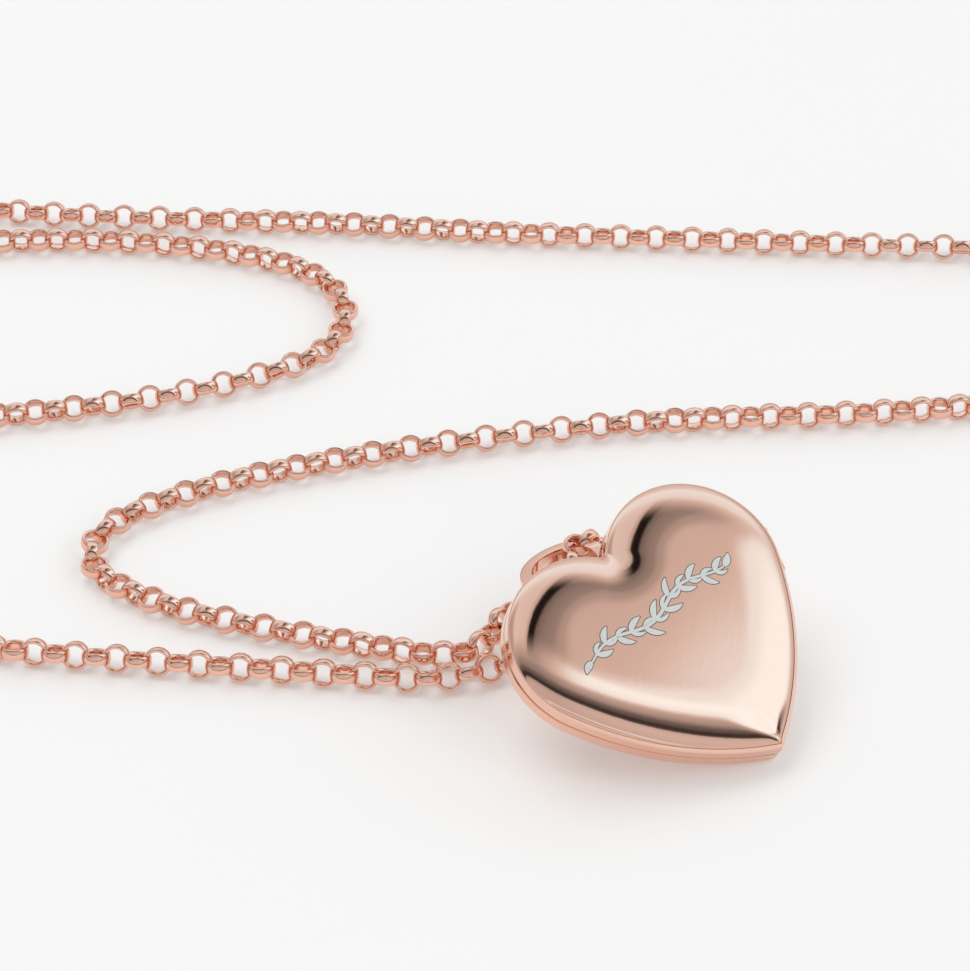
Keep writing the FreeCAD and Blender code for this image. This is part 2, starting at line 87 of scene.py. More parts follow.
LINK_RADIUS, LINK_THICK, LINK_BAND = 0.99, 0.30, 0.78      # of the round links, in millimetres
LINK_PITCH = 2 * (LINK_RADIUS - LINK_THICK)
LINK_EDGE, LINK_ROUNDING = 0.55, 0.03       # share of the thickness up to the flat side, inner corners
LINK_STEPS = 36
MEAN_ROLL = 12
ROLL_WAVES = ((24, 0.0131, 1.0), (15, 0.0053, 2.1))     # degrees, metres along the chain, share of the phase
STEEPEST_LEVEL = 0.75       # a run steeper than this keeps the sideways direction of the link before it


# ---------------------------------------------------------------- camera

def make_camera():
    data = bpy.data.cameras.new("camera")
    data.sensor_width = 36.0
    data.sensor_fit = "HORIZONTAL"
    data.lens = CAMERA_LENS
    data.clip_start, data.clip_end = 0.01, 10
    camera = bpy.data.objects.new("camera", data)
    camera.location = CAMERA_AT
    camera.rotation_euler = (math.radians(CAMERA_TILT), 0, 0)
    bpy.context.scene.collection.objects.link(camera)
    bpy.context.scene.camera = camera


# ---------------------------------------------------------------- shared helpers

def link_object(name, mesh):
    piece = bpy.data.objects.new(name, mesh)
    bpy.context.scene.collection.objects.link(piece)
    return piece


def mesh_piece(name, points, faces, sharp_angle=None):
    """An object from points in metres and faces, smooth shaded, with sharp edges over an angle."""
    mesh = bpy.data.meshes.new(name)
    mesh.from_pydata([tuple(p) for p in points], [], faces)
    mesh.validate()
    work = bmesh.new()
    work.from_mesh(mesh)
    bmesh.ops.recalc_face_normals(work, faces=work.faces)
    work.to_mesh(mesh)
    work.free()
    mesh.shade_smooth()
    if sharp_angle:
        mesh.set_sharp_from_angle(angle=math.radians(sharp_angle))
    return link_object(name, mesh)


def angles(steps):
    """Equal steps once round a circle."""
    return [TURN * step / steps for step in range(steps)]


def lying(turn, lean, roll):
    return (Matrix.Rotation(math.radians(turn), 3, "Z") @ Matrix.Rotation(math.radians(lean), 3, "X")
            @ Matrix.Rotation(math.radians(roll), 3, "Z"))


HEART_TURN = lying(LOCKET_TURN, LOCKET_LEAN, LOCKET_ROLL)


def from_heart(point):
    """A point of the heart frame, in millimetres, as a point of the scene, in metres."""
    return (LOCKET_AT + HEART_TURN @ Vector(point)) * MM


def ring_faces(rows, columns, closed_rows=False):
    """Quads of a grid whose columns close on themselves, and whose rows may."""
    faces = []
    for r in range(rows if closed_rows else rows - 1):
        for c in range(columns):
            ahead, above = (c + 1) % columns, (r + 1) % rows
            faces.append((r * columns + c, r * columns + ahead,
                          above * columns + ahead, above * columns + c))
    return faces


# ---------------------------------------------------------------- chain

def route_samples(route, name):
    """Points along the smooth line of a route, with their distances from its start."""
    curve = bpy.data.curves.new(name, "CURVE")
    curve.dimensions = "3D"
    spline = curve.splines.new("NURBS")
    spline.points.add(len(route) - 1)
    for place, point in zip(spline.points, route):
        place.co = (*point, 1.0)
    spline.order_u = 3
    spline.use_endpoint_u = True
    spline.resolution_u = 40
    holder = bpy.data.objects.new(name, curve)
    bpy.context.scene.collection.objects.link(holder)
    bpy.context.view_layer.update()
    mesh = bpy.data.meshes.new_from_object(holder)
    points = [v.co.copy() for v in mesh.vertices]
    bpy.data.objects.remove(holder)
    bpy.data.meshes.remove(mesh)
    distances = [0.0]
    for before, after in zip(points, points[1:]):
        distances.append(distances[-1] + (after - before).length)
    return points, distances


def at_distance(points, distances, distance):
    for i in range(1, len(points)):
        if distances[i] >= distance:
            share = (distance - distances[i - 1]) / (distances[i] - distances[i - 1])
            return points[i - 1].lerp(points[i], share)
    return points[-1].copy()


def link_profile():
    """The section of a link: a flat inner face and a rounded outer one, as (radius, height) pairs."""
    half, inner = LINK_BAND / 2, LINK_RADIUS - LINK_THICK
    edge = inner + LINK_EDGE * LINK_THICK
    outer = [(edge + (LINK_RADIUS - edge) * math.cos(a), half * math.sin(a))
             for a in (math.radians(d) for d in (-90, -66, -42, -20, 0, 20, 42, 66, 90))]
    return outer + [(inner + LINK_ROUNDING, 0.88 * half), (inner, 0.5 * half), (inner, -0.5 * half),
                    (inner + LINK_ROUNDING, -0.88 * half)]


def add_link(work, centre, heading, normal):
    """One round link that lies along `heading`, with its hole along `normal`."""
    across = normal.cross(heading).normalized()
    profile = link_profile()
    rows = []
    for angle in angles(LINK_STEPS):
        outward = heading * math.cos(angle) + across * math.sin(angle)
        rows.append([work.verts.new(centre + (outward * radius + normal * height) * MM)
                     for radius, height in profile])
    for row, ahead in zip(rows, rows[1:] + rows[:1]):
        for p in range(len(profile)):
            q = (p + 1) % len(profile)
            work.faces.new((row[p], row[q], ahead[q], ahead[p])).smooth = True


def roll_at(distance, phase):
    """How far the links are turned about the chain's line, which drifts along it."""
    waves = sum(size * math.sin(distance / reach + share * phase) for size, reach, share in ROLL_WAVES)
    return math.radians(MEAN_ROLL + waves)


def heading_at(points, distances, distance, reach):
    """The chain's direction at a distance along it, over a reach to both sides."""
    before = at_distance(points, distances, distance - reach)
    return (at_distance(points, distances, distance + reach) - before).normalized()


def make_strand(name, route, phase):
    """The links of a strand as one piece, with the points and the length of its line."""
    points, distances = route_samples(route, name + "_line")
    length = distances[-1]
    count = int(round(length / (LINK_PITCH * MM)))
    pitch = length / count
    work = bmesh.new()
    side = None
    for i in range(count):
        middle = (i + 0.5) * pitch
        centre = at_distance(points, distances, middle)
        heading = heading_at(points, distances, middle, 0.4 * pitch)
        level = Vector((0, 0, 1)).cross(heading)
        if level.length < STEEPEST_LEVEL and side:
            level = side - heading * side.dot(heading)
        side = level.normalized()
        turned = Matrix.Rotation(roll_at(middle, phase) + (i % 2) * math.pi / 2, 3, heading)
        add_link(work, centre, heading, turned @ side)
    mesh = bpy.data.meshes.new(name)
    work.normal_update()
    work.to_mesh(mesh)
    work.free()
    return link_object(name, mesh), points, length


def make_chain(metal):
    """Both strands, each a cord from its own end of the clasp to the middle of the bail's hole."""
    strands = (
        ("front_chain_links", FRONT_ROUTE, 0.4, "chain_front_strand",
         ("clasp_link_ring", "bolt_ring_eye", "bolt_ring_case", "bolt_ring_latch")),
        ("back_chain_links", BACK_ROUTE, 1.9, "chain_back_strand", ("end_link_ring",)),
    )
    for name, route, phase, node, fittings in strands:
        strand, points, length = make_strand(name, route, phase)
        strand.data.materials.append(metal)
        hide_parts(node)
        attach(strand, "necklace")


# ---------------------------------------------------------------- materials

TABLE_GLOW = (0.290, 0.258, 0.241, 1)     # the table glows a little, so that its shadows stay faint


def node_material(name):
    material = bpy.data.materials.new(name)
    material.use_nodes = True
    tree = material.node_tree
    return material, tree, tree.nodes["Principled BSDF"]


def add_node(tree, kind, **values):
    node = tree.nodes.new(kind)
    for key, value in values.items():
        if key in node.inputs:
            node.inputs[key].default_value = value
        else:
            setattr(node, key, value)
    return node


def speckled(tree, shader, low, high, scale, detail):
    """Gives the shader a colour that drifts between two by a noise; returns the place and the noise."""
    place = add_node(tree, "ShaderNodeTexCoord")
    noise = add_node(tree, "ShaderNodeTexNoise", Scale=scale, Detail=detail)
    tree.links.new(place.outputs["Object"], noise.inputs["Vector"])
    blend = add_node(tree, "ShaderNodeMix", data_type="RGBA")
    blend.inputs[6].default_value = (*low, 1)
    blend.inputs[7].default_value = (*high, 1)
    tree.links.new(noise.outputs["Fac"], blend.inputs[0])
    tree.links.new(blend.outputs[2], shader.inputs["Base Color"])
    return place, noise


def bumpy(tree, shader, noise, strength, distance):
    """Gives the shader fine relief from a noise."""
    bump = add_node(tree, "ShaderNodeBump", Strength=strength, Distance=distance)
    tree.links.new(noise.outputs["Fac"], bump.inputs["Height"])
    tree.links.new(bump.outputs["Normal"], shader.inputs["Normal"])


def uneven_shine(tree, shader, noise, low, high):
    """Lets the shader's roughness follow a noise between two values."""
    spread = add_node(tree, "ShaderNodeMapRange")
    spread.inputs["To Min"].default_value, spread.inputs["To Max"].default_value = low, high
    tree.links.new(noise.outputs["Fac"], spread.inputs["Value"])
    tree.links.new(spread.outputs["Result"], shader.inputs["Roughness"])


def metal(name, colour, tint, roughness, scratch=0.012):
    """Polished metal: colour drifts to `tint`, with faint polishing lines and uneven shine."""
    material, tree, shader = node_material(name)
    place, drift = speckled(tree, shader, colour, tint, 300.0, 2.0)
    uneven_shine(tree, shader, drift, roughness * 0.7, roughness * 1.35)
    shader.inputs["Metallic"].default_value = 1.0
    lines = add_node(tree, "ShaderNodeTexNoise", Scale=2600.0, Detail=3.0)
    stretch = add_node(tree, "ShaderNodeMapping")
    stretch.inputs["Rotation"].default_value = (0.3, 0.5, 0.8)
    stretch.inputs["Scale"].default_value = (1.0, 0.12, 1.0)
    tree.links.new(place.outputs["Object"], stretch.inputs["Vector"])
    tree.links.new(stretch.outputs["Vector"], lines.inputs["Vector"])
    bumpy(tree, shader, lines, scratch, 0.0001)
    return material


def card_material():
    material, tree, shader = node_material("blank_card")
    _, fibre = speckled(tree, shader, (0.80, 0.77, 0.71), (0.90, 0.88, 0.83), 4000.0, 6.0)
    shader.inputs["Roughness"].default_value = 0.75
    bumpy(tree, shader, fibre, 0.2, 0.00003)
    return material


def window_material():
    material, tree, shader = node_material("clear_acetate")
    place = add_node(tree, "ShaderNodeTexCoord")
    haze = add_node(tree, "ShaderNodeTexNoise", Scale=700.0, Detail=3.0)
    tree.links.new(place.outputs["Object"], haze.inputs["Vector"])
    uneven_shine(tree, shader, haze, 0.02, 0.09)
    shader.inputs["Base Color"].default_value = (0.97, 0.98, 0.98, 1)
    shader.inputs["IOR"].default_value = 1.48
    shader.inputs["Transmission Weight"].default_value = 1.0
    return material


def engraving_material(name, low, high, roughness, metallic):
    material, tree, shader = node_material(name)
    _, grain = speckled(tree, shader, low, high, 9000.0, 2.0)
    shader.inputs["Roughness"].default_value = roughness
    shader.inputs["Metallic"].default_value = metallic
    bumpy(tree, shader, grain, 0.25, 0.00002)
    return material


def floor_material():
    material, tree, shader = node_material("pale_table")
    speckled(tree, shader, (0.615, 0.615, 0.615), (0.625, 0.625, 0.625), 30.0, 3.0)
    shader.inputs["Roughness"].default_value = 0.35
    shader.inputs["Specular IOR Level"].default_value = 0.25
    shader.inputs["Emission Color"].default_value = TABLE_GLOW
    shader.inputs["Emission Strength"].default_value = 1.0
    return material


def make_materials():
    return {
        "cover": metal("rose_gold_cover", (0.88, 0.55, 0.43), (0.90, 0.57, 0.45), 0.06),
        "back": metal("rose_gold_back", (0.88, 0.54, 0.42), (0.90, 0.56, 0.44), 0.10),
        "chain": metal("rose_gold_chain", (0.88, 0.51, 0.39), (0.92, 0.56, 0.44), 0.07),
        "bail": metal("rose_gold_bail", (0.88, 0.53, 0.41), (0.90, 0.56, 0.44), 0.08),
        "clasp": metal("rose_gold_clasp", (0.87, 0.48, 0.35), (0.90, 0.52, 0.39), 0.10),
        "liner": metal("rose_gold_satin", (0.80, 0.50, 0.38), (0.84, 0.54, 0.42), 0.32, scratch=0.05),
        "frame": metal("rose_gold_frame", (0.87, 0.52, 0.40), (0.90, 0.55, 0.43), 0.12),
        "spring": metal("spring_wire", (0.58, 0.58, 0.60), (0.64, 0.64, 0.66), 0.25),
        "card": card_material(),
        "engraving": engraving_material("engraved_cut", (0.66, 0.64, 0.60), (0.78, 0.76, 0.72), 0.5, 0.4),
        # The dark engraving rim is painted shade: it stands for the shaded walls of the engraved cut.
        "engraving_shade_rim": engraving_material("engraved_rim_painted_shade", (0.16, 0.11, 0.09), (0.28, 0.20, 0.17),
                                             0.4, 0.8),
        "window": window_material(),
    }


def finish_cad_nodes(materials):
    """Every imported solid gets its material, also the ones that a finer piece stands for."""
    by_slot = {
        "rose_gold_cover": "cover", "rose_gold_back": "back", "liner_metal": "liner",
        "photo_card": "card", "clear_window": "window", "frame_metal": "frame",
        "hinge_metal": "cover", "catch_metal": "frame", "bail_metal": "bail",
        "chain_metal": "chain", "clasp_metal": "clasp", "spring_steel": "spring",
    }
    slots = {part["node"]: part["material_slot"] for part in frame["record"]["subparts"]}
    for name, node in frame["nodes"].items():
        node.data.materials.clear()
        node.data.materials.append(materials[by_slot[slots[name]]])


# ---------------------------------------------------------------- heart outlines

CLEFT_STEPS, LOBE_STEPS, SIDE_STEPS = 12, 72, 56


def arc_points(centre, radius, start, end, steps):
    return [centre + radius * Vector((math.cos(a), math.sin(a)))
            for a in (start + (end - start) * i / steps for i in range(steps + 1))]


def heart_outline(inset):
    """The outline set in by `inset`, clockwise from the cleft; equal counts whatever the inset."""
    lobe = Vector((LOBE_X, 0))
    lobe_radius = LOBE_RADIUS - inset
    side_radius = lobe_radius + (SIDE_CENTRE - lobe).length
    cleft_radius = CLEFT_FILLET + inset
    cleft = Vector((0, math.sqrt((lobe_radius + cleft_radius) ** 2 - LOBE_X ** 2)))
    to_cleft = math.atan2(cleft.y, -LOBE_X)
    to_side = math.atan2(-SIDE_CENTRE.y, LOBE_X - SIDE_CENTRE.x)
    drop = math.sqrt(side_radius ** 2 - SIDE_CENTRE.x ** 2)
    to_tip = math.atan2(-drop, -SIDE_CENTRE.x)
    right = (arc_points(cleft, cleft_radius, -math.pi / 2, to_cleft - math.pi, CLEFT_STEPS)
             + arc_points(lobe, lobe_radius, to_cleft, to_side, LOBE_STEPS)[1:]
             + arc_points(SIDE_CENTRE, side_radius, to_side, to_tip, SIDE_STEPS)[1:])
    left = [Vector((-p.x, p.y)) for p in reversed(right[1:-1])]
    return right + left


def hinge_axis():
    """The hinge's middle and direction in the heart frame."""
    angle = math.radians(HINGE_ANGLE)
    outward = Vector((math.cos(angle), math.sin(angle), 0))
    middle = Vector((LOBE_X, 0, 0)) + (LOBE_RADIUS - HINGE_INSET) * outward
    return middle, Vector((-outward.y, outward.x, 0))


# ---------------------------------------------------------------- shells

FACE_CENTRE = Vector((0, -3.2))
FACE_CROWN, CROWN_WIDE, CROWN_TALL, CROWN_Y = 0.16, 45.0, 60.0, -2.0
CROWN_FROM, CROWN_TO = 0.3, 3.0     # insets between which the face's crown grows
TIP_SOFTENING, TIP_FROM, TIP_TO = 2.4, 0.15, 2.2
RIM_BEVEL, RIM_GAP = 0.07, 0.08     # the two shells' rims leave a thin dark line between them
WALL_STEPS = (0.25, 0.45, 0.65)
FACE_RINGS, SHOULDER_STEPS, INNER_STEPS = 14, 22, 8
SHELL_SHARP = 32
SIDE_RADIUS = LOBE_RADIUS + (SIDE_CENTRE - Vector((LOBE_X, 0))).length


def ease(value, low, high):
    share = min(1.0, max(0.0, (value - low) / (high - low)))
    return share * share * (3 - 2 * share)


def side_inset(point, side):
    """How far in from a long side's arc a point lies; the x of the arc's centre has the sign of `side`."""
    centre = Vector((math.copysign(SIDE_CENTRE.x, side), SIDE_CENTRE.y))
    return SIDE_RADIUS - (point - centre).length


def softened(own, point):
    """The inset at a point, rounded where the two sides meet, so that the tip's ridge fades inward."""
    other = side_inset(point, point.x)
    spread = TIP_SOFTENING * ease(min(own, other), TIP_FROM, TIP_TO)
    if spread <= 0:
        return own
    overlap = max(spread - abs(own - other), 0) / spread
    return min(own, other) - spread * overlap ** 2 / 4


def domed(own, point):
    """Height of the shoulder and face over a point whose distance in from the outline is `own`."""
    inset = min(max(softened(own, point), 0.0), SHOULDER_INSET)
    bump = math.exp(-point.x ** 2 / CROWN_WIDE - (point.y - CROWN_Y) ** 2 / CROWN_TALL)
    turn = math.acos(1 - inset / SHOULDER_INSET)
    return (WALL_HEIGHT + SHOULDER_RISE * math.sin(turn)
            + FACE_CROWN * bump * ease(inset, CROWN_FROM, CROWN_TO))


def outer_rows():
    """Rows of (point, height) up the outside, from the parting plane to the middle of the face."""
    wall = [(RIM_BEVEL, RIM_GAP), (0.4 * RIM_BEVEL, 1.25 * RIM_GAP), (0.0, 1.6 * RIM_GAP)]
    wall += [(0.0, height) for height in WALL_STEPS]
    rows = [[(p, height) for p in heart_outline(inset)] for inset, height in wall]
    for step in range(SHOULDER_STEPS + 1):
        inset = SHOULDER_INSET * (1 - math.cos(math.pi / 2 * step / SHOULDER_STEPS))
        rows.append([(p, domed(inset, p)) for p in heart_outline(inset)])
    last = heart_outline(SHOULDER_INSET)
    for ring in range(1, FACE_RINGS):
        points = [p.lerp(FACE_CENTRE, ring / FACE_RINGS) for p in last]
        rows.append([(p, domed(max(SHOULDER_INSET, side_inset(p, -p.x)), p)) for p in points])
    return rows, (FACE_CENTRE, domed(SHOULDER_INSET, FACE_CENTRE))


def inner_rows():
    """Rows of (point, height) up the inside, from the rim to the middle of the face."""
    rows = [[(p, RIM_GAP) for p in heart_outline(SHELL_THICK)]]
    for step in range(INNER_STEPS + 1):
        turn = math.pi / 2 * step / INNER_STEPS
        height = WALL_HEIGHT + (SHOULDER_RISE - SHELL_THICK) * math.sin(turn)
        inset = SHELL_THICK + SHOULDER_INSET * (1 - math.cos(turn))
        rows.append([(p, height) for p in heart_outline(inset)])
    return rows, (FACE_CENTRE, WALL_HEIGHT + SHOULDER_RISE - SHELL_THICK)


def bowl(rows, middle, side):
    """Points and faces of rows of (point, height) closed by a last point in their middle."""
    points = [Vector((p.x, p.y, side * height)) for row in rows for p, height in row]
    columns = len(rows[0])
    faces = ring_faces(len(rows), columns)
    points.append(Vector((*middle[0], side * middle[1])))
    start = (len(rows) - 1) * columns
    faces += [(start + c, start + (c + 1) % columns, len(points) - 1) for c in range(columns)]
    return points, faces, columns


def cut_away(piece, cutter):
    """Takes the cutter's solid out of the piece and removes the cutter."""
    step = piece.modifiers.new("groove", "BOOLEAN")
    step.operation, step.solver, step.object = "DIFFERENCE", "EXACT", cutter
    bpy.context.view_layer.update()
    shaped = piece.evaluated_get(bpy.context.evaluated_depsgraph_get())
    mesh = bpy.data.meshes.new_from_object(shaped)
    piece.modifiers.clear()
    piece.data = mesh
    bpy.data.objects.remove(cutter)


def rod(name, start, end, radius, sides=64):
    """A closed cylinder between two points in metres."""
    axis = (end - start).normalized()
    across = axis.orthogonal().normalized()
    level = axis.cross(across)
    rows = [[base + radius * (across * math.cos(a) + level * math.sin(a)) for a in angles(sides)]
            for base in (start, end)]
    faces = ring_faces(2, sides) + [tuple(range(sides)), tuple(range(2 * sides - 1, sides - 1, -1))]
    return mesh_piece(name, rows[0] + rows[1], faces, 30)


def make_shell(name, side, node, body, material):
    """A hollow half of the locket, over the parting plane (side 1) or under it (side -1)."""
    points, faces, columns = bowl(*outer_rows(), side)
    inner, inner_faces, _ = bowl(*inner_rows(), side)
    base = len(points)
    faces += [tuple(base + i for i in reversed(face)) for face in inner_faces]
    faces += [(c, base + c, base + (c + 1) % columns, (c + 1) % columns) for c in range(columns)]
    shell = mesh_piece(name, [from_heart(p) for p in points + inner], faces, SHELL_SHARP)
    middle, along = hinge_axis()
    reach = along * GROOVE_LENGTH / 2
    cut_away(shell, rod("groove", from_heart(middle - reach), from_heart(middle + reach),
                        GROOVE_RADIUS * MM))
    shell.data.shade_smooth()
    shell.data.set_sharp_from_angle(angle=math.radians(SHELL_SHARP))
    shell.data.materials.clear()
    shell.data.materials.append(material)
    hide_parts(node)
    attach(shell, body)


# ---------------------------------------------------------------- bail and loop

def swept_ring(name, centre, turn, radius, section_at, steps=160):
    """A closed ring about an axis; `section_at` gives (out, up) points for each angle about it."""
    points, columns = [], 0
    for angle in angles(steps):
        outward = Vector((math.cos(angle), math.sin(angle), 0))
        section = section_at(angle)
        columns = len(section)
        points += [(centre + turn @ (outward * (radius + out) + Vector((0, 0, up)))) * MM
                   for out, up in section]
    return mesh_piece(name, points, ring_faces(steps, columns, closed_rows=True), 40)


BAND_HALF, BAND_INNER, BAND_OUTER, BAND_CROWN = 1.10, -0.45, 0.40, 0.15
BAND_HOLLOW, BAND_CORNER, BAND_SQUARENESS = 0.10, 0.16, 0.55
BAND_FROM, BAND_TO = 42, 84     # degrees from the loop between which the wire widens into the band
BAIL_SIDES, LOOP_SIDES, LOOP_STEPS = 48, 32, 96


def band_point(cos, sin):
    """A point of the band's section, as (out, up): crowned outside, a little hollow inside."""
    up = abs(sin) ** BAND_SQUARENESS * math.copysign(1, sin) * BAND_HALF
    arch = 1 - (up / BAND_HALF) ** 2
    if cos >= 0:
        return Vector((BAND_OUTER + BAND_CROWN * arch - BAND_CORNER * (1 - cos) ** 6, up))
    return Vector((BAND_INNER + BAND_HOLLOW * arch + BAND_CORNER * (1 + cos) ** 6, up))


def bail_section(angle):
    """A round wire near the loop (angle 0), a broad band with a rolled edge round the rest."""
    share = ease(abs(math.degrees(math.remainder(angle, TURN))), BAND_FROM, BAND_TO)
    section = []
    for a in angles(BAIL_SIDES):
        cos, sin = math.cos(a), math.sin(a)
        wire = Vector((BAIL_WIRE * cos, BAIL_WIRE * sin))
        section.append(wire.lerp(band_point(cos, sin), share))
    return section


def make_bail(material):
    bail = swept_ring("bail_ring", BAIL_AT, lying(BAIL_TURN, BAIL_LEAN, BAIL_ROLL), BAIL_RADIUS,
                      bail_section)
    bail.data.materials.append(material)
    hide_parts("bail")
    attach(bail, "bail")


def make_loop(material):
    turn = HEART_TURN @ Matrix.Rotation(math.pi / 2, 3, "Y")
    centre = LOCKET_AT + HEART_TURN @ LOOP_CENTRE
    section = [(LOOP_WIRE * math.cos(a), LOOP_WIRE * math.sin(a)) for a in angles(LOOP_SIDES)]
    loop = swept_ring("loop_ring", centre, turn, LOOP_RADIUS, lambda angle: section, LOOP_STEPS)
    loop.data.materials.append(material)
    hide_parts("pendant_loop")
    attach(loop, "locket_back")


# ---------------------------------------------------------------- engraving

ENGRAVING_CENTRE, ENGRAVING_HALF = Vector((-0.6, -0.9)), 6.1
STEM_SWING, STEM_BENDS, STEM_POINTS = 0.42, 3.5, 90
STEM_WIDTH, STEM_SWELL = 0.07, 0.05
LEAF_PAIRS, LEAF_STEPS, LEAF_TIP = 12, 14, 0.012
LEAF_SIZE, LEAF_TAPER = 1.55, 0.35      # leaves are longest halfway along the stem
OVERLAP_STEP = 0.0006       # strokes that cross lie at slightly different heights
# The dark rim grown round each stroke, under the pale cut, is painted shade of the cut's walls.
SHADE_RIM_GROWTH, SHADE_RIM_LIFT, CUT_LIFT = 0.06, 0.003, 0.008
FACE_EDGE = heart_outline(0)


def face_height(point):
    """Height of the cover's outside over a point, as its mesh has it."""
    return domed(min((point - p).length for p in FACE_EDGE), point)


def stem_point(share):
    """The wandering stem, from one end of the engraving (0) to the other (1)."""
    x = -ENGRAVING_HALF + 2 * ENGRAVING_HALF * share
    return ENGRAVING_CENTRE + Vector((x, STEM_SWING * math.sin(share * STEM_BENDS * math.pi)))


def stroke(centre_line, widths):
    """A flat ribbon along a line: left and right edge points."""
    left, right = [], []
    for i, point in enumerate(centre_line):
        before = centre_line[max(0, i - 1)]
        after = centre_line[min(len(centre_line) - 1, i + 1)]
        along = (after - before).normalized()
        across = Vector((-along.y, along.x))
        left.append(point + across * widths[i])
        right.append(point - across * widths[i])
    return left + right[::-1]


def leaf_line(root, angle, length, bend):
    """The midrib of a leaf: starts at the stem and curls by `bend`."""
    points, place, heading = [root.copy()], root.copy(), angle
    for _ in range(LEAF_STEPS):
        place = place + Vector((math.cos(heading), math.sin(heading))) * (length / LEAF_STEPS)
        heading += bend / LEAF_STEPS
        points.append(place.copy())
    return points


def leaf(root, angle, length, width, bend):
    """The outline of a leaf, widest a little before its middle."""
    widths = [width * math.sin(math.pi * (i / LEAF_STEPS) ** 0.8) ** 0.8 + LEAF_TIP
              for i in range(LEAF_STEPS + 1)]
    return stroke(leaf_line(root, angle, length, bend), widths)


def sprig_shapes():
    """Outlines of the stem and its leaves: a big and a small one at each place, and one at each end."""
    shares = [i / (STEM_POINTS - 1) for i in range(STEM_POINTS)]
    widths = [STEM_WIDTH + STEM_SWELL * math.sin(math.pi * share) for share in shares]
    shapes = [stroke([stem_point(share) for share in shares], widths)]
    for i in range(LEAF_PAIRS):
        share = (i + 0.6) / (LEAF_PAIRS + 0.4)
        root = stem_point(share)
        ahead = stem_point(min(1.0, share + 0.01)) - stem_point(share - 0.01)
        heading = math.atan2(ahead.y, ahead.x)
        side = 1 if i % 2 else -1
        size = LEAF_SIZE - LEAF_TAPER * abs(2 * share - 1)
        shapes.append(leaf(root, heading + side * math.radians(62), size, 0.20, -side * 0.9))
        shapes.append(leaf(root, heading - side * math.radians(48), 0.8 * size, 0.13, side * 1.3))
    shapes.append(leaf(stem_point(1.0), 0.2, 1.1, 0.24, 0.7))
    shapes.append(leaf(stem_point(0.0), math.pi, 1.0, 0.22, 0.9))
    return shapes


def ribs(outline, grow):
    """Left, middle and right points along a stroke's outline, grown by `grow` all round."""
    rows = []
    for i in range(len(outline) // 2):
        left, right = outline[i], outline[-1 - i]
        across = left - right
        spread = across.normalized() * grow if across.length > 1e-9 else Vector((0, 0))
        rows.append([left + spread, left.lerp(right, 0.5), right - spread])
    if grow:
        rows.insert(0, [p + (rows[0][1] - rows[1][1]).normalized() * grow for p in rows[0]])
        rows.append([p + (rows[-1][1] - rows[-2][1]).normalized() * grow for p in rows[-1]])
    return rows


def make_engraving(name, grow, lift, material):
    """The sprig's strokes as thin shapes that follow the face just over it."""
    work = bmesh.new()
    for number, outline in enumerate(sprig_shapes()):
        height = lift + OVERLAP_STEP * (number % 5)
        verts = [[work.verts.new(from_heart((p.x, p.y, face_height(p) + height))) for p in row]
                 for row in ribs(outline, grow)]
        for before, after in zip(verts, verts[1:]):
            for k in range(2):
                work.faces.new((before[k], before[k + 1], after[k + 1], after[k])).smooth = True
    mesh = bpy.data.meshes.new(name)
    bmesh.ops.recalc_face_normals(work, faces=work.faces)
    work.to_mesh(mesh)
    work.free()
    piece = link_object(name, mesh)
    piece.data.materials.append(material)
    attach(piece, "front_cover")


# ---------------------------------------------------------------- clasp

CASE_AT = Vector((-65.5, 54.4, 1.45))
CASE_RADIUS, SPRING_START, SPRING_SWEEP = 2.30, 55.0, 60.0
COIL_RADIUS, COIL_WIRE, COIL_TURNS = 0.24, 0.06, 13
COIL_STEPS, WIRE_SIDES = COIL_TURNS * 20, 8


def coil_point(share):
    """The middle of the spring's wire, from one end of the coil (0) to the other (1)."""
    about = math.radians(SPRING_START + SPRING_SWEEP * share)
    outward = Vector((math.cos(about), math.sin(about), 0))
    twist = TURN * COIL_TURNS * share
    return (CASE_AT + outward * (CASE_RADIUS + COIL_RADIUS * math.cos(twist))
            + Vector((0, 0, COIL_RADIUS * math.sin(twist))))


def make_spring(material):
    """A coil along the bore of the case."""
    line = [coil_point(step / COIL_STEPS) for step in range(COIL_STEPS + 1)]
    points = []
    for i, place in enumerate(line):
        along = (line[min(i + 1, COIL_STEPS)] - line[max(i - 1, 0)]).normalized()
        across = along.cross(Vector((0, 0, 1))).normalized()
        level = along.cross(across)
        points += [(place + COIL_WIRE * (across * math.cos(a) + level * math.sin(a))) * MM
                   for a in angles(WIRE_SIDES)]
    faces = ring_faces(COIL_STEPS + 1, WIRE_SIDES)
    faces += [tuple(range(WIRE_SIDES)), tuple(range(COIL_STEPS * WIRE_SIDES, len(points)))]
    spring = mesh_piece("spring_coil", points, faces)
    spring.data.materials.append(material)
    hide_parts("bolt_ring_spring")
    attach(spring, "necklace")


# ---------------------------------------------------------------- studio

TABLE_HALF = 3.0
LAMP_WHITE = (1.0, 0.965, 0.94)


def make_floor():
    corners = [(TABLE_HALF * x, TABLE_HALF * y, 0) for x, y in ((-1, -1), (1, -1), (1, 1), (-1, 1))]
    floor = mesh_piece("table", corners, [(0, 1, 2, 3)])
    floor.data.materials.append(floor_material())


def area_light(name, location, target, size, power):
    """A soft lamp that lights the table and the object but isn't mirrored in the metal."""
    data = bpy.data.lights.new(name, "AREA")
    data.shape, data.size, data.size_y = "RECTANGLE", size[0], size[1]
    data.energy, data.color = power, LAMP_WHITE
    lamp = bpy.data.objects.new(name, data)
    lamp.location = location
    lamp.visible_glossy = False
    lamp.rotation_euler = (Vector(target) - Vector(location)).to_track_quat("-Z", "Y").to_euler()
    bpy.context.scene.collection.objects.link(lamp)


STUDIO_STRENGTH = 1.45
SLANT = 0.45
